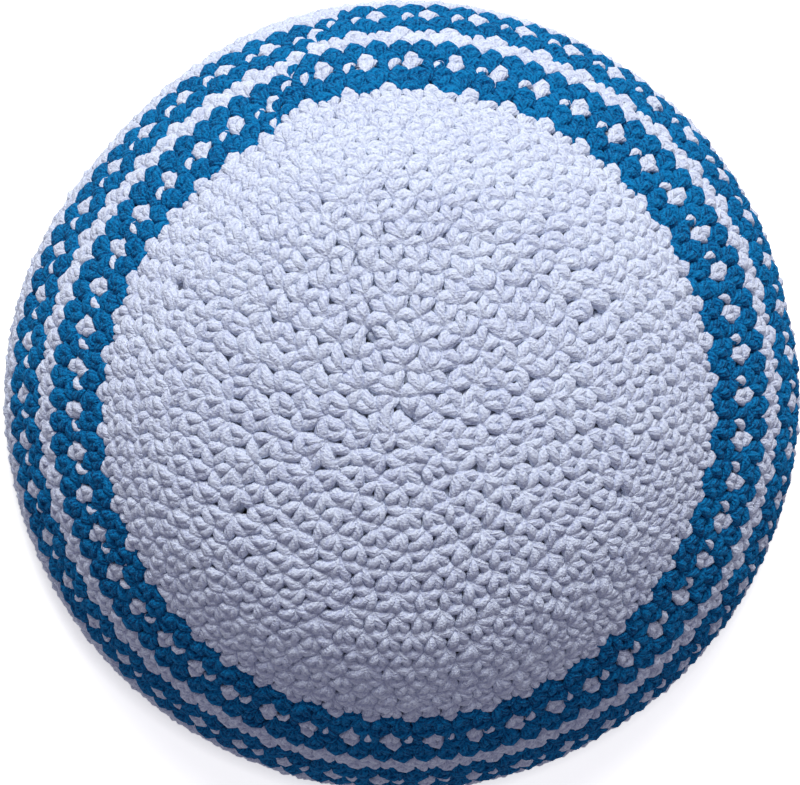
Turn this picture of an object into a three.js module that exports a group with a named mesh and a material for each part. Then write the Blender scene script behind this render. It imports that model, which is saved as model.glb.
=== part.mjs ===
// Crocheted skullcap in white and blue cotton, in millimetres, +Z up.
// It is worked from the middle of the crown outwards in rounds of single crochet, and stands
// on its rim: the origin is the middle of the rim, on the surface that the cap rests on.
// Seen from above, +Y is the side that the crown leans to and -Y the steeper side.

import * as THREE from 'three';

// Driving sizes
const ROUNDS = 26; // rounds from the middle of the crown to the rim
const THICKNESS = 3.6; // the fabric between its inner and outer faces
const GROOVE = 0.7; // how far the outer face dips between two rounds
const GAP = 0.3; // left between two colours, so that they stay separate solids
const RIM_CHAMFER = 0.6; // takes the corners off the last round
const SEGMENTS = 48; // facets around the cap
const STEPS_PER_ROUND = 8; // steps for adding up the side's curve

// How steeply the fabric falls at the end of a round, in degrees from level, and how tall the
// round's stitches are along the fabric: loose on the crown, tighter over its shoulder
const FALL = [
  { round: 0, slope: 0, pitch: 4.6 },
  { round: 3, slope: 7, pitch: 4.6 },
  { round: 8, slope: 20, pitch: 4.5 },
  { round: 12, slope: 42, pitch: 3.9 },
  { round: 17, slope: 49, pitch: 4.5 },
  { round: 21, slope: 58, pitch: 4.8 },
  { round: 26, slope: 90, pitch: 4.5 },
];

// How far the middle of a round stands off the middle of the rim, because the soft crown leans
const LEAN = [
  { round: 0, x: -2.5, y: 3.9 },
  { round: 8, x: -3.7, y: 5.4 },
  { round: 16, x: -1.6, y: 2.9 },
  { round: 22, x: 0.9, y: 1.3 },
  { round: 26, x: 0, y: 0 },
];

// Shallow dents in the side, seen from above: degrees from +X towards +Y, and depth at the widest
const DENTS = [
  { azimuth: 138, spread: 20, depth: 2.0 },
  { azimuth: 14, spread: 9, depth: 0.7 },
];
const DENT_TOP_ROUND = 12; // a dent starts here and is deepest at the rim

// The colours, from the crown out, each over whole rounds
const ZONES = [
  { name: 'crown', from: 0, to: 15, yarn: 'white' },
  { name: 'inner_band', from: 15, to: 19, yarn: 'blue' },
  { name: 'white_ring', from: 19, to: 20, yarn: 'white' },
  { name: 'outer_band', from: 20, to: 24, yarn: 'blue' },
  { name: 'edge', from: 24, to: 26, yarn: 'white' },
];

const YARNS = {
  white: new THREE.MeshStandardMaterial({ name: 'white_yarn', color: 0xe9ecf7, roughness: 0.9 }),
  blue: new THREE.MeshStandardMaterial({ name: 'blue_yarn', color: 0x0a6bb0, roughness: 0.85 }),
};

// A value between two rows of a table, by its round
function between(table, column, round) {
  let low = table[0];
  let high = table[table.length - 1];
  for (const row of table) {
    if (row.round <= round) low = row;
    if (row.round >= round) {
      high = row;
      break;
    }
  }
  const share = high.round > low.round ? (round - low.round) / (high.round - low.round) : 0;
  return THREE.MathUtils.lerp(low[column], high[column], share);
}

// The middle of the fabric from the crown out: radius, height over the rim, and slope
function sideCurve() {
  const step = 1 / STEPS_PER_ROUND;
  const stations = [{ round: 0, radius: 0, height: 0, slope: FALL[0].slope }];
  for (let i = 1; i <= ROUNDS * STEPS_PER_ROUND; i += 1) {
    const last = stations[i - 1];
    const middle = (i - 0.5) * step;
    const slope = THREE.MathUtils.degToRad(between(FALL, 'slope', middle));
    const length = step * between(FALL, 'pitch', middle);
    stations.push({
      round: i * step,
      radius: last.radius + length * Math.cos(slope),
      height: last.height - length * Math.sin(slope),
      slope: between(FALL, 'slope', i * step),
    });
  }
  const rim = stations[stations.length - 1].height;
  return stations.map((station) => ({ ...station, height: station.height - rim }));
}

const SIDE = sideCurve();

// A point of the side's section, a given distance off the middle of the fabric
function sectionPoint(round, offset) {
  const slope = THREE.MathUtils.degToRad(between(SIDE, 'slope', round));
  const radius = between(SIDE, 'radius', round) + offset * Math.sin(slope);
  const height = between(SIDE, 'height', round) + offset * Math.cos(slope);
  return new THREE.Vector2(Math.max(radius, 0), Math.max(height, 0));
}

// One colour's closed section: out along the smooth inner face, back along the ridged outer one
function zoneSection(zone) {
  const atRim = zone.to === ROUNDS;
  const cutBack = atRim ? RIM_CHAMFER : GAP / 2;
  const from = zone.from === 0 ? 0 : zone.from + GAP / 2 / between(FALL, 'pitch', zone.from);
  const to = zone.to - cutBack / between(FALL, 'pitch', zone.to);
  const half = THICKNESS / 2;
  const outside = [];
  const inside = [];
  for (let round = zone.from; round <= zone.to; round += 1) {
    const end = THREE.MathUtils.clamp(round, from, to);
    outside.push(sectionPoint(end, atRim && round === ROUNDS ? half : half - GROOVE));
    if (round < zone.to) outside.push(sectionPoint(round + 0.5, half));
    inside.push(sectionPoint(end, -half));
  }
  if (atRim) {
    outside.push(sectionPoint(ROUNDS, half - RIM_CHAMFER));
    inside.push(sectionPoint(ROUNDS, RIM_CHAMFER - half));
  }
  const loop = [...inside, ...outside.reverse()];
  if (zone.from > 0) loop.push(loop[0].clone());
  return loop;
}

// The round that lies at a height, from the side's curve
function roundAtHeight(height) {
  const below = SIDE.findIndex((station) => station.height <= height);
  return below < 0 ? ROUNDS : SIDE[below].round;
}

// Leans and dents a turned piece, each point by its height and its direction
function settle(geometry) {
  const position = geometry.attributes.position;
  const point = new THREE.Vector3();
  for (let i = 0; i < position.count; i += 1) {
    point.fromBufferAttribute(position, i);
    const round = roundAtHeight(point.z);
    const azimuth = THREE.MathUtils.radToDeg(Math.atan2(point.y, point.x));
    const reach = THREE.MathUtils.smoothstep(round, DENT_TOP_ROUND, ROUNDS);
    let dent = 0;
    for (const { azimuth: middle, spread, depth } of DENTS) {
      dent += depth * reach * Math.exp(-(((azimuth - middle) / spread) ** 2));
    }
    const radius = Math.hypot(point.x, point.y);
    const shrink = radius > 0 ? (radius - dent) / radius : 1;
    const x = point.x * shrink + between(LEAN, 'x', round);
    const y = point.y * shrink + between(LEAN, 'y', round);
    position.setXYZ(i, x, y, point.z);
  }
  geometry.computeVertexNormals();
  return geometry;
}

// One colour of the cap: its section turned about the cap's axis, then leaned and dented
function makeZone(zone) {
  const turned = new THREE.LatheGeometry(zoneSection(zone), SEGMENTS);
  turned.rotateX(Math.PI / 2);
  const mesh = new THREE.Mesh(settle(turned), YARNS[zone.yarn]);
  mesh.name = zone.name;
  return mesh;
}

const skullcap = new THREE.Group();
for (const zone of ZONES) skullcap.add(makeZone(zone));

export default skullcap;
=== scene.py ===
"""A crocheted skullcap: each stitch is three strands of plied cotton, worked in one spiral.

The cap stands on its rim on a plain pale floor. Lengths are in metres, +Z is up, and +Y is the side
that the crown leans to. A stitch is placed by three numbers: how many turns of the spiral come before
it, how many rounds it lies from the middle of the crown, and how far it stands off the middle of the
fabric.
"""

import math

import bpy
import numpy as np
from mathutils import Matrix, Vector


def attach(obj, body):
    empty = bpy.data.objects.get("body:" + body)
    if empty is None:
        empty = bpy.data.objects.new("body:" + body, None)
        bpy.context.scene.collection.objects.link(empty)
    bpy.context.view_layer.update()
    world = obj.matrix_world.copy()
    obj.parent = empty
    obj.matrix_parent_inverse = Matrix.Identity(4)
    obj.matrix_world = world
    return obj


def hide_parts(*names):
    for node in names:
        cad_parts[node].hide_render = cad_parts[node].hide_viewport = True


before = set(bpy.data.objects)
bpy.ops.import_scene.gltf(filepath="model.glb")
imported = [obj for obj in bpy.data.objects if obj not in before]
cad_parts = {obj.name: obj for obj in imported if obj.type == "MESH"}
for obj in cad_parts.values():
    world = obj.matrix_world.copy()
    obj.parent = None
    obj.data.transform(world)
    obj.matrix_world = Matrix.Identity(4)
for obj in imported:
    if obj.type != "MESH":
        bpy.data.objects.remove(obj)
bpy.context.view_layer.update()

bl_info = {
    "name": "Crocheted skullcap",
    "version": (1, 0, 0),
    "blender": (4, 5, 0),
    "location": "3D View > Sidebar > Skullcap",
    "description": "Works a crocheted skullcap stitch by stitch, in white and blue cotton",
    "category": "Add Mesh",
}

MM = 0.001

# The cap's form, in even rounds from the middle of the crown to the rim
ROUNDS = 26
STEPS_PER_ROUND = 8  # steps for adding up the side's curve

# How steeply the fabric falls at a round, in degrees from level, and how tall its stitches are along
# the fabric, in metres
FALL_ROUND = np.array([0, 3, 8, 12, 17, 21, 26], float)
FALL_SLOPE = np.array([0, 7, 20, 42, 49, 58, 90], float)
FALL_PITCH = np.array([4.6, 4.6, 4.5, 3.9, 4.5, 4.8, 4.5]) * MM

# How far the middle of a round stands off the middle of the rim, because the soft crown leans
LEAN_ROUND = np.array([0, 8, 16, 22, 26], float)
LEAN_X = np.array([-2.5, -3.7, -1.6, 0.9, 0]) * MM
LEAN_Y = np.array([3.9, 5.4, 2.9, 1.3, 0]) * MM

# Shallow dents in the side: direction and spread in degrees, depth in metres at the rim
DENTS = ((138, 20, 2.0 * MM), (14, 9, 0.7 * MM))
DENT_TOP_ROUND = 12

# The spiral of rows: TOP_ROUND is how many rounds a row's top lies from the crown's middle when the
# spiral has made TOP_TURN turns. Rows are taller in the inner band, tighter in the white ring and at the
# edge, and about a round tall elsewhere
SPIRAL_AZIMUTH = 115  # degrees from +X, where each row begins
TOP_TURN = np.array([-1, 0, 1, 15.5, 18.5, 20.5, 23.5, 26.5])
TOP_ROUND = np.array([0, 0.5, 1.3, 15.2, 18.9, 20.3, 23.2, 25.5])
OVAL_TURN = np.array([6, 15.5, 19])  # the crown's edge is drawn a little oval, along Y
OVAL_ROUND = np.array([0, 0.3, 0])
CROWN_ROWS = 15
STITCHES_ADDED = 6  # in each row of the crown
ADDED_WAVES = ((1.37, 0.4), (2.61, 0.15))  # waves a turn, and stitches, that scatter the added ones
ADDED_FADE = (3, 1)  # turns over which the waves set in at the middle and fade at the crown's end
SAMPLES_PER_TURN = 400  # for finding where each stitch of the crown lies
BAND_STITCHES = 98  # in each row below the crown
BAND_STITCHES_PER_TURN = 98.5  # each stitch sits half a stitch behind the one that it is worked into
LEVELLING = (19, 23.5)  # turns over which the spiral levels out towards the rim
LEVEL_EDGE = 0.03  # of a turn, over which a levelled row climbs to the next

# The colours of the rows below the crown, as repeats of stitches: their legs, slivers and heads
BAND_ROWS = (
    ("W", "W", "WB"),
    ("B", "B", "B"),
    ("WB", "W", "WB"),
    ("B", "B", "B"),
    ("W", "W", "W"),
    ("W", "W", "WB"),
    ("B", "B", "B"),
    ("WB", "W", "WB"),
    ("B", "B", "B"),
    ("W", "W", "W"),
    ("W", "W", "W"),
    ("W", "W", "W"),
)
ROWS = CROWN_ROWS + len(BAND_ROWS)

# Pieces: name, the node that it stands for, its rows from and up to, its yarn, and how full the yarn is
PIECES = {
    "crown_centre_stitches": ("crown", 0, 11, "W", 1.0),
    "crown_shoulder_stitches": ("crown", 11, 15, "W", 1.0),
    "inner_band_blue_stitches": ("inner_band", 15, 19, "B", 1.08),
    "inner_band_white_stitches": ("inner_band", 15, 19, "W", 0.84),
    "white_ring_stitches": ("white_ring", 19, 20, "W", 1.0),
    "outer_band_blue_stitches": ("outer_band", 20, 24, "B", 1.08),
    "outer_band_white_stitches": ("outer_band", 20, 24, "W", 0.84),
    "edge_stitches": ("edge", 24, 27, "W", 1.05),
}

# The way of the yarn through one stitch, in three strands. Along is in stitch widths in the direction of
# work, up in row heights from the row before, and lift in millimetres off the middle of the fabric. A
# point moves with the hole that the stitch is worked into by its share base, and with the next stitch's
# hole by its share after. Thickness is a share of the yarn's, which is drawn thin through a hole. LEGS
# is the loop pulled up through the hole, SLIVER the strand that comes up from the next hole, and HEAD
# what closes the stitch: the sliver's turn over the legs, and the link behind it.
LEGS = np.array([
    # along, up, lift, base, after, thickness
    (0.02, -0.05, -1.30, 1.00, 0.0, 0.80),
    (0.02, -0.22, -0.90, 1.00, 0.0, 0.60),
    (-0.04, 0.02, 0.50, 0.95, 0.0, 0.70),
    (-0.14, 0.32, 0.80, 0.60, 0.0, 0.85),
    (-0.17, 0.66, 0.55, 0.20, 0.0, 0.95),
    (0.00, 0.90, 0.00, 0.00, 0.0, 0.90),
    (0.20, 0.90, 0.10, 0.00, 0.0, 0.90),
    (0.36, 0.66, 0.65, 0.15, 0.0, 1.00),
    (0.27, 0.32, 1.00, 0.60, 0.0, 0.95),
    (0.10, 0.04, 0.60, 0.95, 0.0, 0.75),
    (0.04, -0.22, -0.90, 1.00, 0.0, 0.60),
    (0.03, -0.05, -1.30, 1.00, 0.0, 0.80),
    (0.52, 0.38, -1.20, 0.50, 0.0, 1.30),
    (0.60, 0.80, -1.10, 0.00, 0.0, 1.20),
])
SLIVER = np.array([
    (1.06, -0.04, -0.80, 0.0, 1.0, 0.50),
    (1.02, 0.20, 1.10, 0.0, 0.9, 0.70),
    (0.86, 0.56, 1.20, 0.0, 0.5, 0.95),
    (0.66, 0.84, 0.10, 0.0, 0.0, 0.80),
])
HEAD = np.array([
    (0.60, 0.84, -0.40, 0.0, 0.0, 0.80),
    (0.38, 1.00, 0.50, 0.0, 0.0, 1.05),
    (0.08, 1.08, 0.80, 0.0, 0.0, 1.20),
    (-0.22, 0.98, 0.45, 0.0, 0.0, 1.05),
    (-0.46, 0.95, -0.45, 0.0, 0.0, 0.90),
    (-0.80, 0.95, -0.90, 0.0, 0.0, 0.85),
    (-0.80, 0.95, -1.20, 0.0, 0.0, 0.90),
    (-0.50, 0.95, -1.35, 0.0, 0.0, 1.00),
    (-0.05, 0.95, -1.20, 0.0, 0.0, 1.00),
])
STRANDS = ((LEGS, 15), (SLIVER, 6), (HEAD, 10))  # with their points along the yarn
SIDES = 8  # of the yarn
STITCH_MIDDLE = 0.1  # along, halfway between the legs
SPOT_WIDTH = 0.72  # of the legs and head of a white stitch between blue ones, which squeeze it
STRAY_WAY = 0.5  # of the unevenness, how far a point strays along and up
STRAY_LIFT = 2  # of the unevenness, how far a point strays off the fabric, in millimetres

# The yarn's surface. The heights of its plies, fibres and fuzz are shares of the relief, and the colour
# follows their sum as painted shade, darker in the grooves and under the fibres: contrast times it,
# with the stitch's tint, less a start
PLY_HEIGHT = 0.2
FIBRE_HEIGHT = 0.5
FUZZ_HEIGHT = 1.0
FIBRES_PER_PLY = 4
FIBRES_PER_METRE = 500  # along the yarn
FIBRE_DETAIL = 3
FUZZ_PER_METRE = 2200
FUZZ_DETAIL = 2
# How strongly the painted shade darkens the low parts of the yarn, and where it starts
PAINTED_SHADE_CONTRAST = 2.8
COLOUR_TINT = 0.3
PAINTED_SHADE_START = 1.9
COTTON_ROUGHNESS = 0.9
COTTON_SPECULAR = 0.12
SHEEN_ROUGHNESS = 0.5
WHITE_SHEEN = 0.15
BLUE_SHEEN = 0


def side_curve():
    """The middle of the fabric from the crown out: its rounds, radius, height over the rim, and slope.

    Each step adds its length, split by the slope there.
    """
    rounds = np.arange(ROUNDS * STEPS_PER_ROUND + 1) / STEPS_PER_ROUND
    middles = (rounds[1:] + rounds[:-1]) / 2
    slope = np.radians(np.interp(middles, FALL_ROUND, FALL_SLOPE))
    length = np.interp(middles, FALL_ROUND, FALL_PITCH) / STEPS_PER_ROUND
    radius = np.concatenate([[0], np.cumsum(length * np.cos(slope))])
    drop = np.concatenate([[0], np.cumsum(length * np.sin(slope))])
    return rounds, radius, drop[-1] - drop, np.radians(np.interp(rounds, FALL_ROUND, FALL_SLOPE))


SIDE = side_curve()


def smooth_share(value, low, high):
    """0 below low, 1 above high, and a smooth step between them."""
    share = np.clip((value - low) / (high - low), 0, 1)
    return share * share * (3 - 2 * share)


def on_fabric(turn, rounds, lift):
    """Points and outward normals: the side's curve turned about the cap's axis, dented and leaned."""
    azimuth = math.radians(SPIRAL_AZIMUTH) + 2 * math.pi * turn
    radius, height, slope = (np.interp(rounds, SIDE[0], column) for column in SIDE[1:])
    reach = smooth_share(rounds, DENT_TOP_ROUND, ROUNDS)
    for middle, spread, depth in DENTS:
        away = (np.degrees(azimuth) - middle + 180) % 360 - 180
        radius = radius - depth * reach * np.exp(-((away / spread) ** 2))
    out = np.maximum(radius + lift * np.sin(slope), 0)
    x = out * np.cos(azimuth) + np.interp(rounds, LEAN_ROUND, LEAN_X)
    y = out * np.sin(azimuth) + np.interp(rounds, LEAN_ROUND, LEAN_Y)
    z = height + lift * np.cos(slope)
    normal = (np.sin(slope) * np.cos(azimuth), np.sin(slope) * np.sin(azimuth), np.cos(slope))
    return np.stack([x, y, z], -1), np.stack(normal, -1)


def row_top(turn):
    """Rounds from the middle to the top of the row being worked, from TOP_TURN and TOP_ROUND.

    Towards the rim each turn levels out, with its climb where the rows begin, so that the last row ends
    level. The crown's edge is drawn oval by a wave with two crests a turn.
    """
    part = turn % 1
    level = (0.5 - part) * smooth_share(np.minimum(part, 1 - part), 0, LEVEL_EDGE)
    levelled = turn + level * smooth_share(turn, *LEVELLING)
    levelled = np.where(turn >= ROWS - 1, TOP_TURN[-1], levelled)
    azimuth = math.radians(SPIRAL_AZIMUTH) + 2 * math.pi * turn
    oval = -np.cos(2 * azimuth) * np.interp(turn, OVAL_TURN, OVAL_ROUND)
    return np.interp(levelled, TOP_TURN, TOP_ROUND) + oval


def crown_turns():
    """The turns of the crown's stitches. Up to a turn there are half of STITCHES_ADDED, times the turn,
    times one more than the turn, and slow waves on that scatter the added ones."""
    turn = np.linspace(0, CROWN_ROWS, CROWN_ROWS * SAMPLES_PER_TURN)
    worked = STITCHES_ADDED / 2 * turn * (turn + 1)
    fade = smooth_share(turn, 0, ADDED_FADE[0]) * smooth_share(CROWN_ROWS - turn, 0, ADDED_FADE[1])
    for rate, stitches in ADDED_WAVES:
        worked = worked + stitches * fade * np.sin(2 * math.pi * rate * turn)
    return np.interp(np.arange(0.5, worked[-1]), worked, turn)


def lay_out_stitches():
    """Every stitch's turn, width in turns, row, and its own and the next stitch's hole.

    A hole is the link between two stitches that lies nearest to one turn before the stitch that is worked
    into it, and is given in the stitch's widths from there. The first turn is worked into the middle.
    """
    crown = crown_turns()
    count = int((ROWS - CROWN_ROWS) * BAND_STITCHES_PER_TURN)
    band = CROWN_ROWS + (np.arange(count) + 0.5) / BAND_STITCHES_PER_TURN
    band_row = np.minimum(CROWN_ROWS + np.arange(count) // BAND_STITCHES, ROWS - 1)
    turn = np.concatenate([crown, band])
    width = np.concatenate([np.gradient(crown), np.full(count, 1 / BAND_STITCHES_PER_TURN)])
    row = np.concatenate([crown.astype(int), band_row])
    links = (turn[:-1] + turn[1:]) / 2
    nearest = np.clip(np.searchsorted(links, turn - 1), 1, len(links) - 1)
    nearest -= (turn - 1 - links[nearest - 1]) < (links[nearest] - (turn - 1))
    base = np.where(turn < 1, 0, (links[nearest] - turn + 1) / width)
    hole = turn + base * width
    after = np.append((hole[1:] - turn[:-1]) / width[:-1] - 1, base[-1])
    return {"turn": turn, "width": width, "row": row, "base": base, "after": after}


def yarns_of(stitches, part):
    """Each stitch's yarn, W or B, in one part of it: white on the crown, and the repeats of BAND_ROWS
    below it."""
    order = np.cumsum(stitches["row"] >= CROWN_ROWS) - 1
    yarns = np.full(len(order), "W")
    for index, repeats in enumerate(BAND_ROWS):
        worked = stitches["row"] == CROWN_ROWS + index
        yarns[worked] = np.array(list(repeats[part]))[order[worked] % len(repeats[part])]
    return yarns


def widths_of(stitches):
    """Each stitch's width as a share of its place: SPOT_WIDTH for the white stitches of the spots."""
    spots = [CROWN_ROWS + index for index, repeats in enumerate(BAND_ROWS) if len(set(repeats[0])) > 1]
    squeezed = np.isin(stitches["row"], spots) & (yarns_of(stitches, 0) == "W")
    return np.where(squeezed, SPOT_WIDTH, 1)


def spline_weights(controls, samples):
    """Weights that turn control points into points of the smooth curve through them (Catmull-Rom)."""
    place = np.linspace(0, controls - 1, samples)
    start = np.minimum(place.astype(int), controls - 2)
    u = place - start
    basis = (
        (-u**3 + 2 * u**2 - u) / 2,
        (3 * u**3 - 5 * u**2 + 2) / 2,
        (-3 * u**3 + 4 * u**2 + u) / 2,
        (u**3 - u**2) / 2,
    )
    weights = np.zeros((samples, controls))
    for offset, share in zip((-1, 0, 1, 2), basis):
        np.add.at(weights, (np.arange(samples), np.clip(start + offset, 0, controls - 1)), share)
    return weights


def strand_paths(stitches, strand, points, settings):
    """The yarn's centres, the fabric's normals and the yarn's radius, stitch by point.

    A strand's way is set on each stitch, with a little random unevenness, then smoothed by a spline and
    laid on the fabric.
    """
    random = np.random.default_rng(settings.seed)
    count = len(stitches["turn"])
    lean = random.normal(0, settings.unevenness, (count, 1))
    along, up, lift, base, after, thickness = (np.tile(column, (count, 1)) for column in strand.T)
    if strand is not SLIVER:
        along = STITCH_MIDDLE + (along - STITCH_MIDDLE) * widths_of(stitches)[:, None]
    along = along + base * stitches["base"][:, None] + after * stitches["after"][:, None]
    along = along + lean * up + random.normal(0, settings.unevenness * STRAY_WAY, along.shape)
    up = up + random.normal(0, settings.unevenness * STRAY_WAY, up.shape)
    lift = (lift + random.normal(0, settings.unevenness * STRAY_LIFT, lift.shape)) * MM
    thickness = thickness * random.normal(1, settings.unevenness, thickness.shape)
    weights = spline_weights(len(strand), points)
    along, up, lift = along @ weights.T, up @ weights.T, lift @ weights.T
    turn = stitches["turn"][:, None] + along * stitches["width"][:, None]
    low, high = row_top(turn - 1), row_top(turn)
    rounds = np.clip(low + up * (high - low), 0, ROUNDS)
    return *on_fabric(turn, rounds, lift), thickness @ weights.T * settings.yarn_radius


def carried_frames(centres, normals):
    """A side direction at each point, carried along the path without twist, from the fabric's plane."""
    tangents = np.gradient(centres, axis=1)
    tangents /= np.linalg.norm(tangents, axis=-1, keepdims=True)
    sides = np.empty_like(tangents)
    side = np.cross(tangents[:, 0], normals[:, 0])
    for point in range(centres.shape[1]):
        tangent = tangents[:, point]
        side = side - np.sum(side * tangent, -1, keepdims=True) * tangent
        side /= np.linalg.norm(side, axis=-1, keepdims=True)
        sides[:, point] = side
    return tangents, sides


def yarn_rings(centres, normals, radius, settings):
    """A ring of points round each centre: a circle across the path, pressed flatter along the normal."""
    tangents, sides = carried_frames(centres, normals)
    ups = np.cross(tangents, sides)
    angle = np.arange(SIDES) * 2 * math.pi / SIDES
    circle = np.cos(angle)[:, None] * sides[:, :, None] + np.sin(angle)[:, None] * ups[:, :, None]
    offset = circle * radius[:, :, None, None]
    through = np.sum(offset * normals[:, :, None], -1, keepdims=True)
    offset -= (1 - settings.flatness) * through * normals[:, :, None]
    return centres[:, :, None] + offset


def tube_faces(rings, first):
    """Corners of the faces of closed tubes whose vertices start at first, and each face's corner count:
    quads between neighbouring rings, and a flat cap at each end."""
    strands, points, sides = rings.shape[:3]
    vertex = first + np.arange(strands * points * sides).reshape(strands, points, sides)
    beside = np.roll(vertex, -1, axis=2)
    quads = np.stack([vertex[:, :-1], beside[:, :-1], beside[:, 1:], vertex[:, 1:]], -1)
    loops = np.concatenate([quads.ravel(), vertex[:, 0, ::-1].ravel(), vertex[:, -1].ravel()])
    sizes = np.repeat([4, sides], [quads.size // 4, 2 * strands])
    return loops, sizes


def tube_uv(rings, lengths):
    """Each corner's place on the yarn, in the order of tube_faces: once round it in u, metres in v."""
    strands, points, sides = rings.shape[:3]
    u = np.broadcast_to(np.arange(sides) / sides, (strands, points - 1, sides))
    here = np.broadcast_to(lengths[:, :-1, None], u.shape)
    ahead = np.broadcast_to(lengths[:, 1:, None], u.shape)
    right = u + 1 / sides
    corners = [(u, here), (right, here), (right, ahead), (u, ahead)]
    quads = np.stack([np.stack(corner, -1) for corner in corners], -2).reshape(-1, 2)
    return np.concatenate([quads, np.zeros((2 * strands * sides, 2))])


def mesh_of_tubes(name, bundles):
    """One mesh of closed tubes, from bundles of rings, lengths along the yarn and each strand's tint.

    The yarn UV map has each corner's place on the yarn, and the tint attribute each strand's tint.
    """
    loops, sizes, places, uvs, tints = [], [], [], [], []
    first = 0
    for rings, lengths, tint in bundles:
        bundle_loops, bundle_sizes = tube_faces(rings, first)
        loops.append(bundle_loops)
        sizes.append(bundle_sizes)
        places.append(rings.reshape(-1, 3))
        uvs.append(tube_uv(rings, lengths))
        tints.append(np.repeat(tint, rings.shape[1] * rings.shape[2]))
        first += len(places[-1])
    loops, sizes, places = np.concatenate(loops), np.concatenate(sizes), np.concatenate(places)
    mesh = bpy.data.meshes.new(name)
    mesh.vertices.add(len(places))
    mesh.vertices.foreach_set("co", places.astype(np.float32).ravel())
    mesh.loops.add(len(loops))
    mesh.loops.foreach_set("vertex_index", loops.astype(np.int32))
    mesh.polygons.add(len(sizes))
    mesh.polygons.foreach_set("loop_start", (np.cumsum(sizes) - sizes).astype(np.int32))
    mesh.polygons.foreach_set("use_smooth", np.ones(len(sizes), bool))
    mesh.update(calc_edges=True)
    mesh.uv_layers.new(name="yarn")
    mesh.uv_layers["yarn"].data.foreach_set("uv", np.concatenate(uvs).astype(np.float32).ravel())
    mesh.attributes.new("tint", "FLOAT", "POINT")
    mesh.attributes["tint"].data.foreach_set("value", np.concatenate(tints).astype(np.float32))
    return mesh


def add_sockets(group, direction, sockets):
    """Adds named sockets to a node group, as its INPUT or its OUTPUT."""
    for name, kind in sockets.items():
        group.interface.new_socket(name=name, in_out=direction, socket_type=kind)


def maths(nodes, links, operation, first, second):
    """A Math node of two values, each a socket or a number. Gives its output socket."""
    node = nodes.new("ShaderNodeMath")
    node.operation = operation
    for socket, value in zip(node.inputs, (first, second)):
        if isinstance(value, (int, float)):
            socket.default_value = value
        else:
            links.new(value, socket)
    return node.outputs[0]


def noise(nodes, links, place, scale, detail):
    """A Noise node at a place, which is a socket. Gives its output socket."""
    node = nodes.new("ShaderNodeTexNoise")
    node.inputs["Scale"].default_value = scale
    node.inputs["Detail"].default_value = detail
    links.new(place, node.inputs["Vector"])
    return node.outputs["Fac"]


def rise(nodes, links, value, span, top):
    """A Map Range node: 0 before the span of a value, top after it and straight between. Gives its
    output socket."""
    node = nodes.new("ShaderNodeMapRange")
    node.inputs["From Min"].default_value = span[0]
    node.inputs["From Max"].default_value = span[1]
    node.inputs["To Max"].default_value = top
    links.new(value, node.inputs["Value"])
    return node.outputs["Result"]


def plied_yarn_group():
    """Plies twisted round the yarn, with loose fibres on them.

    A ply's height is the squared sine of its place round the yarn plus its turns along it. The fibres
    are noise drawn out along the plies, and the fuzz is fine noise over them. The colour is painted
    shade: it goes from a painted shade colour in the grooves and under the fibres to the yarn's own on
    the plies, and is a little lighter or darker stitch by stitch.
    """
    found = bpy.data.node_groups.get("plied_yarn")
    if found:
        return found
    group = bpy.data.node_groups.new("plied_yarn", "ShaderNodeTree")
    colour, number = "NodeSocketColor", "NodeSocketFloat"
    add_sockets(group, "INPUT", {"Yarn": colour, "Painted shade": colour, "Plies": number, "Turns": number})
    add_sockets(group, "OUTPUT", {"Color": colour, "Height": number})
    nodes, links = group.nodes, group.links
    given = nodes.new("NodeGroupInput")
    result = nodes.new("NodeGroupOutput")
    uv = nodes.new("ShaderNodeUVMap")
    uv.uv_map = "yarn"
    split = nodes.new("ShaderNodeSeparateXYZ")
    links.new(uv.outputs["UV"], split.inputs[0])
    round_yarn = maths(nodes, links, "MULTIPLY", split.outputs["X"], given.outputs["Plies"])
    along_yarn = maths(nodes, links, "MULTIPLY", split.outputs["Y"], given.outputs["Turns"])
    phase = maths(nodes, links, "ADD", round_yarn, along_yarn)
    wave = maths(nodes, links, "SINE", maths(nodes, links, "MULTIPLY", phase, math.pi), 0)
    ply = maths(nodes, links, "MULTIPLY", wave, wave)
    drawn = nodes.new("ShaderNodeCombineXYZ")
    links.new(maths(nodes, links, "MULTIPLY", phase, FIBRES_PER_PLY), drawn.inputs["X"])
    links.new(maths(nodes, links, "MULTIPLY", split.outputs["Y"], FIBRES_PER_METRE), drawn.inputs["Y"])
    fibre = noise(nodes, links, drawn.outputs[0], 1, FIBRE_DETAIL)
    place = nodes.new("ShaderNodeTexCoord")
    fuzz = noise(nodes, links, place.outputs["Object"], FUZZ_PER_METRE, FUZZ_DETAIL)
    fibres = maths(nodes, links, "MULTIPLY", fibre, FIBRE_HEIGHT)
    loose = maths(nodes, links, "ADD", fibres, maths(nodes, links, "MULTIPLY", fuzz, FUZZ_HEIGHT))
    height = maths(nodes, links, "ADD", maths(nodes, links, "MULTIPLY", ply, PLY_HEIGHT), loose)
    links.new(height, result.inputs["Height"])
    tint = nodes.new("ShaderNodeAttribute")
    tint.attribute_name = "tint"
    uneven = maths(nodes, links, "MULTIPLY", tint.outputs["Fac"], COLOUR_TINT)
    # Painted shade: the colour goes to the painted shade colour where the plies, fibres and fuzz are low
    depth = maths(nodes, links, "ADD", maths(nodes, links, "MULTIPLY", height, PAINTED_SHADE_CONTRAST), uneven)
    mix = nodes.new("ShaderNodeMix")
    mix.data_type = "RGBA"
    links.new(maths(nodes, links, "SUBTRACT", depth, PAINTED_SHADE_START), mix.inputs["Factor"])
    links.new(given.outputs["Painted shade"], mix.inputs["A"])
    links.new(given.outputs["Yarn"], mix.inputs["B"])
    links.new(mix.outputs["Result"], result.inputs["Color"])
    return group


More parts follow.
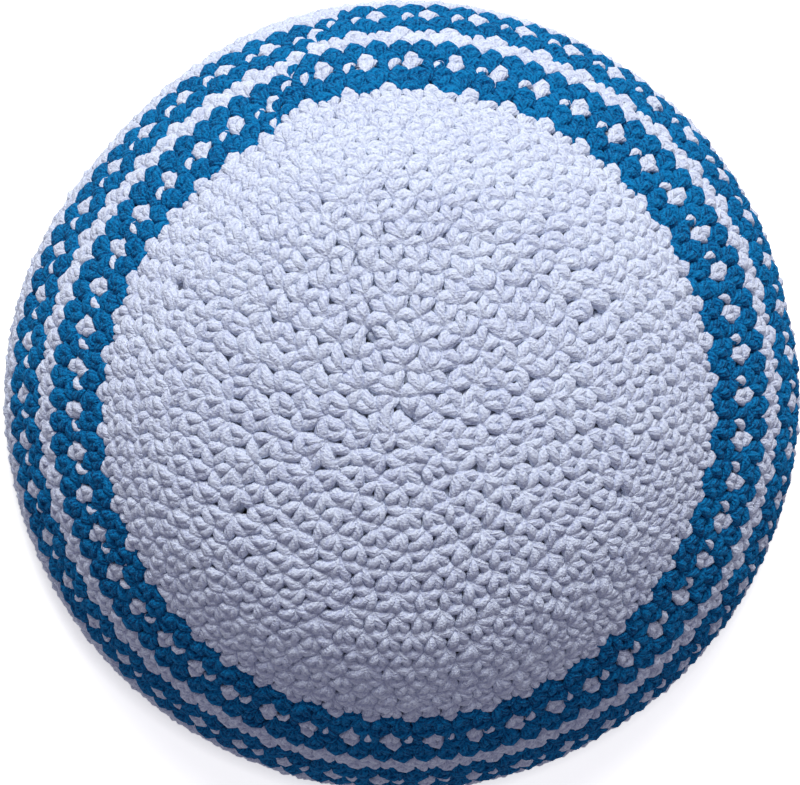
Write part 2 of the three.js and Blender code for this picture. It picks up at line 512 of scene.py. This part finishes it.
def yarn_material(name, colour, shade, sheen, relief, settings):
    """Matt cotton with a soft sheen, its plies and fibres raised by a bump."""
    found = bpy.data.materials.get(name)
    if found:
        return found
    material = bpy.data.materials.new(name)
    material.use_nodes = True
    nodes, links = material.node_tree.nodes, material.node_tree.links
    shader = nodes["Principled BSDF"]
    shader.inputs["Roughness"].default_value = COTTON_ROUGHNESS
    shader.inputs["Specular IOR Level"].default_value = COTTON_SPECULAR
    shader.inputs["Sheen Weight"].default_value = sheen
    shader.inputs["Sheen Roughness"].default_value = SHEEN_ROUGHNESS
    plied = nodes.new("ShaderNodeGroup")
    plied.node_tree = plied_yarn_group()
    plied.inputs["Yarn"].default_value = (*colour, 1)
    # The painted shade in the grooves between the plies and under the fibres
    plied.inputs["Painted shade"].default_value = (*shade, 1)
    plied.inputs["Plies"].default_value = settings.plies
    plied.inputs["Turns"].default_value = settings.twist
    bump = nodes.new("ShaderNodeBump")
    bump.inputs["Distance"].default_value = relief
    links.new(plied.outputs["Color"], shader.inputs["Base Color"])
    links.new(plied.outputs["Height"], bump.inputs["Height"])
    links.new(bump.outputs["Normal"], shader.inputs["Normal"])
    return material


def new_object(name, data):
    """An object in the scene, at the origin."""
    made = bpy.data.objects.new(name, data)
    bpy.context.scene.collection.objects.link(made)
    return made


def make_piece(name, settings):
    """Makes one piece of the cap: the strands of its rows that are worked in its yarn."""
    node, first, end, yarn, fullness = PIECES[name]
    stitches = lay_out_stitches()
    tint = np.random.default_rng(settings.seed).random(len(stitches["turn"]))
    in_rows = (stitches["row"] >= first) & (stitches["row"] < end)
    bundles = []
    for part, (strand, points) in enumerate(STRANDS):
        mine = in_rows & (yarns_of(stitches, part) == yarn)
        paths = strand_paths(stitches, strand, points, settings)
        centres, normals, radius = (array[mine] for array in paths)
        steps = np.linalg.norm(np.diff(centres, axis=1), axis=-1)
        lengths = np.concatenate([np.zeros((len(steps), 1)), np.cumsum(steps, axis=1)], axis=1)
        bundles.append((yarn_rings(centres, normals, radius * fullness, settings), lengths, tint[mine]))
    mesh = mesh_of_tubes(name, bundles)
    # Each yarn's own colour, and the painted shade for its grooves and the gaps under its fibres
    if yarn == "W":
        colours = (settings.white, settings.white_painted_shade)
        material = yarn_material("white_cotton", *colours, WHITE_SHEEN, settings.white_relief, settings)
    else:
        colours = (settings.blue, settings.blue_painted_shade)
        material = yarn_material("blue_cotton", *colours, BLUE_SHEEN, settings.blue_relief, settings)
    mesh.materials.append(material)
    piece = new_object(name, mesh)
    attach(piece, "root")
    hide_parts(node)


class SkullcapYarn(bpy.types.PropertyGroup):
    """Sizes and colours of the yarn."""

    yarn_radius: bpy.props.FloatProperty(
        name="Yarn radius",
        description="Half the thickness of the yarn",
        default=1.15 * MM,
        subtype="DISTANCE",
    )
    white_relief: bpy.props.FloatProperty(
        name="White relief",
        description="Depth of the white fibres",
        default=0.42 * MM,
        subtype="DISTANCE",
    )
    blue_relief: bpy.props.FloatProperty(
        name="Blue relief",
        description="Depth of the blue fibres",
        default=0.6 * MM,
        subtype="DISTANCE",
    )
    flatness: bpy.props.FloatProperty(
        name="Flatness",
        description="Thickness of a pressed strand over its width",
        default=0.9,
        subtype="FACTOR",
    )
    unevenness: bpy.props.FloatProperty(
        name="Unevenness",
        description="How far stitches stray, in stitch widths",
        default=0.06,
    )
    plies: bpy.props.IntProperty(
        name="Plies",
        description="Plies twisted into the yarn",
        default=6,
    )
    twist: bpy.props.FloatProperty(
        name="Twist",
        description="Plies that pass a line along one metre of yarn",
        default=600,
    )
    seed: bpy.props.IntProperty(
        name="Seed",
        description="Seed of the unevenness",
        default=7,
    )
    white: bpy.props.FloatVectorProperty(
        name="White",
        description="Colour of the white cotton",
        default=(0.75, 0.82, 0.92),
        subtype="COLOR",
    )
    # Painted shade: a darker copy of the white that is painted into the grooves between the plies and
    # under the fibres
    white_painted_shade: bpy.props.FloatVectorProperty(
        name="White shade",
        description="White cotton between its plies",
        default=(0.50, 0.55, 0.72),
        subtype="COLOR",
    )
    blue: bpy.props.FloatVectorProperty(
        name="Blue",
        description="Colour of the blue cotton",
        default=(0.004, 0.22, 0.50),
        subtype="COLOR",
    )
    # Painted shade: a darker copy of the blue that is painted into the grooves between the plies and
    # under the fibres
    blue_painted_shade: bpy.props.FloatVectorProperty(
        name="Blue shade",
        description="Blue cotton between its plies",
        default=(0.0, 0.05, 0.17),
        subtype="COLOR",
    )


class SkullcapStage(bpy.types.PropertyGroup):
    """The floor, the lights and the camera."""

    floor_size: bpy.props.FloatProperty(
        name="Floor",
        description="Width of the floor",
        default=60,
        subtype="DISTANCE",
    )
    floor_colour: bpy.props.FloatVectorProperty(
        name="Floor colour",
        description="Colour of the floor",
        default=(0.99, 1.0, 0.93),
        subtype="COLOR",
    )
    washed_out: bpy.props.FloatProperty(
        name="Washed out",
        description="How bright the floor's darkest shadow is in the picture",
        default=0.7,
        subtype="FACTOR",
    )
    daylight: bpy.props.FloatProperty(
        name="Daylight",
        description="Strength of the light from all round",
        default=0.26,
    )
    key_power: bpy.props.FloatProperty(
        name="Key light",
        description="Power of the soft main light",
        default=14,
        subtype="POWER",
    )
    lens: bpy.props.FloatProperty(
        name="Lens",
        description="Focal length of the camera on a picture 36 mm wide, in millimetres",
        default=96.2,
    )


class SkullcapPieces:
    """What the piece operators share: each makes the pieces that it names."""

    bl_options = {"REGISTER", "UNDO"}
    pieces = ()

    def execute(self, context):
        for name in self.pieces:
            make_piece(name, context.scene.skullcap_yarn)
        return {"FINISHED"}


class SKULLCAP_OT_crown(SkullcapPieces, bpy.types.Operator):
    """Works the white crown"""

    bl_idname = "skullcap.crown"
    bl_label = "Crown"
    pieces = ("crown_centre_stitches", "crown_shoulder_stitches")


class SKULLCAP_OT_inner_band(SkullcapPieces, bpy.types.Operator):
    """Works the blue band under the crown, with its white teeth and spots"""

    bl_idname = "skullcap.inner_band"
    bl_label = "Inner band"
    pieces = ("inner_band_blue_stitches", "inner_band_white_stitches")


class SKULLCAP_OT_white_ring(SkullcapPieces, bpy.types.Operator):
    """Works the white round between the two bands"""

    bl_idname = "skullcap.white_ring"
    bl_label = "White ring"
    pieces = ("white_ring_stitches",)


class SKULLCAP_OT_outer_band(SkullcapPieces, bpy.types.Operator):
    """Works the blue band over the edge, with its white teeth and spots"""

    bl_idname = "skullcap.outer_band"
    bl_label = "Outer band"
    pieces = ("outer_band_blue_stitches", "outer_band_white_stitches")


class SKULLCAP_OT_edge(SkullcapPieces, bpy.types.Operator):
    """Works the three white rows of the edge"""

    bl_idname = "skullcap.edge"
    bl_label = "Edge"
    pieces = ("edge_stitches",)


# The stage. The washes are the metres from the cap's middle over which the floor brightens: outside the
# rim, and far off
FLOOR_ROUGHNESS = 0.8
RIM_WASH = (0.078, 0.088)
FAR_WASH = (0.3, 1.5)
WHITE_LIGHT = (1, 1, 1, 1)
DAYLIGHT_COLOUR = (0.92, 0.87, 1.14, 1)
KEY_PLACE = Vector((0, 0.90, 0.79))
KEY_AIM = Vector((0, 0, 0.03))
KEY_SIZE = 0.5
KEY_COLOUR = (0.98, 0.98, 1)
KEY_UP = Vector((0, 0, 1))
CAMERA_PLACE = Vector((-28.3, 54.9, 453.3)) * MM
CAMERA_AIM = Vector((-2.6, 6.0, 34.1)) * MM
PHOTO_UP = Vector((0, 1, 0))  # the direction that is up in the picture
PHOTO_WIDTH = 36  # of the camera's picture, in millimetres, which its lens is given for


def facing(place, aim, up):
    """A matrix at place that looks along its -Z to aim, with up upwards in the picture."""
    back = (place - aim).normalized()
    right = up.cross(back).normalized()
    turn = Matrix((right, back.cross(right), back)).transposed()
    return Matrix.Translation(place) @ turn.to_4x4()


def floor_paint(stage):
    """Pale matt paint that a camera sees washed out, as a photo's white background.

    The floor's own light is for the camera alone. It is nothing within the rim, so that the holes
    between the stitches stay dark, washed_out around the rim, and whole far off, where the floor meets
    the white behind it.
    """
    material = bpy.data.materials.new("floor_paint")
    material.use_nodes = True
    nodes, links = material.node_tree.nodes, material.node_tree.links
    shader = nodes["Principled BSDF"]
    shader.inputs["Base Color"].default_value = (*stage.floor_colour, 1)
    shader.inputs["Roughness"].default_value = FLOOR_ROUGHNESS
    shader.inputs["Emission Color"].default_value = WHITE_LIGHT
    place = nodes.new("ShaderNodeTexCoord")
    distance = nodes.new("ShaderNodeVectorMath")
    distance.operation = "LENGTH"
    links.new(place.outputs["Object"], distance.inputs[0])
    around = rise(nodes, links, distance.outputs["Value"], RIM_WASH, stage.washed_out)
    far = rise(nodes, links, distance.outputs["Value"], FAR_WASH, 1 - stage.washed_out)
    bright = maths(nodes, links, "ADD", around, far)
    rays = nodes.new("ShaderNodeLightPath")
    seen = maths(nodes, links, "MULTIPLY", bright, rays.outputs["Is Camera Ray"])
    links.new(seen, shader.inputs["Emission Strength"])
    return material


def daylight_world(stage):
    """Cool light from all round, and plain white where the camera looks past the floor."""
    world = bpy.data.worlds.new("daylight")
    world.use_nodes = True
    nodes, links = world.node_tree.nodes, world.node_tree.links
    daylight = nodes["Background"]
    daylight.inputs["Color"].default_value = DAYLIGHT_COLOUR
    daylight.inputs["Strength"].default_value = stage.daylight
    backdrop = nodes.new("ShaderNodeBackground")
    backdrop.inputs["Color"].default_value = WHITE_LIGHT
    rays = nodes.new("ShaderNodeLightPath")
    either = nodes.new("ShaderNodeMixShader")
    links.new(rays.outputs["Is Camera Ray"], either.inputs[0])
    links.new(daylight.outputs[0], either.inputs[1])
    links.new(backdrop.outputs[0], either.inputs[2])
    links.new(either.outputs[0], nodes["World Output"].inputs[0])
    return world


class SKULLCAP_OT_stage(bpy.types.Operator):
    """Lays the floor and sets the lights and the camera"""

    bl_idname = "skullcap.stage"
    bl_label = "Stage"
    bl_options = {"REGISTER", "UNDO"}

    def execute(self, context):
        stage = context.scene.skullcap_stage
        half = stage.floor_size / 2
        mesh = bpy.data.meshes.new("floor")
        corners = [(-half, -half, 0), (half, -half, 0), (half, half, 0), (-half, half, 0)]
        mesh.from_pydata(corners, [], [(0, 1, 2, 3)])
        mesh.materials.append(floor_paint(stage))
        new_object("floor", mesh)
        context.scene.world = daylight_world(stage)

        lamp = bpy.data.lights.new("key_light", "AREA")
        lamp.energy = stage.key_power
        lamp.size = KEY_SIZE
        lamp.color = KEY_COLOUR
        new_object("key_light", lamp).matrix_world = facing(KEY_PLACE, KEY_AIM, KEY_UP)

        camera_data = bpy.data.cameras.new("camera")
        camera_data.sensor_width = PHOTO_WIDTH
        camera_data.lens = stage.lens
        camera = new_object("camera", camera_data)
        camera.matrix_world = facing(CAMERA_PLACE, CAMERA_AIM, PHOTO_UP)
        context.scene.camera = camera
        context.scene.view_settings.view_transform = "Standard"
        return {"FINISHED"}


class SKULLCAP_PT_panel(bpy.types.Panel):
    """The cap's pieces and stage, in the order of work"""

    bl_label = "Crocheted skullcap"
    bl_space_type = "VIEW_3D"
    bl_region_type = "UI"
    bl_category = "Skullcap"

    def draw(self, context):
        for operator in OPERATORS:
            self.layout.operator(operator.bl_idname)
        for name in SkullcapYarn.__annotations__:
            self.layout.prop(context.scene.skullcap_yarn, name)
        for name in SkullcapStage.__annotations__:
            self.layout.prop(context.scene.skullcap_stage, name)


OPERATORS = (
    SKULLCAP_OT_stage,
    SKULLCAP_OT_crown,
    SKULLCAP_OT_inner_band,
    SKULLCAP_OT_white_ring,
    SKULLCAP_OT_outer_band,
    SKULLCAP_OT_edge,
)
CLASSES = (SkullcapYarn, SkullcapStage, *OPERATORS, SKULLCAP_PT_panel)


def register():
    for made in CLASSES:
        bpy.utils.register_class(made)
    bpy.types.Scene.skullcap_yarn = bpy.props.PointerProperty(type=SkullcapYarn)
    bpy.types.Scene.skullcap_stage = bpy.props.PointerProperty(type=SkullcapStage)


def unregister():
    del bpy.types.Scene.skullcap_stage
    del bpy.types.Scene.skullcap_yarn
    for made in reversed(CLASSES):
        bpy.utils.unregister_class(made)


def main():
    """Makes the stage and the pieces in order."""
    register()
    bpy.ops.skullcap.stage()
    bpy.ops.skullcap.crown()
    bpy.ops.skullcap.inner_band()
    bpy.ops.skullcap.white_ring()
    bpy.ops.skullcap.outer_band()
    bpy.ops.skullcap.edge()


if __name__ == "__main__":
    main()
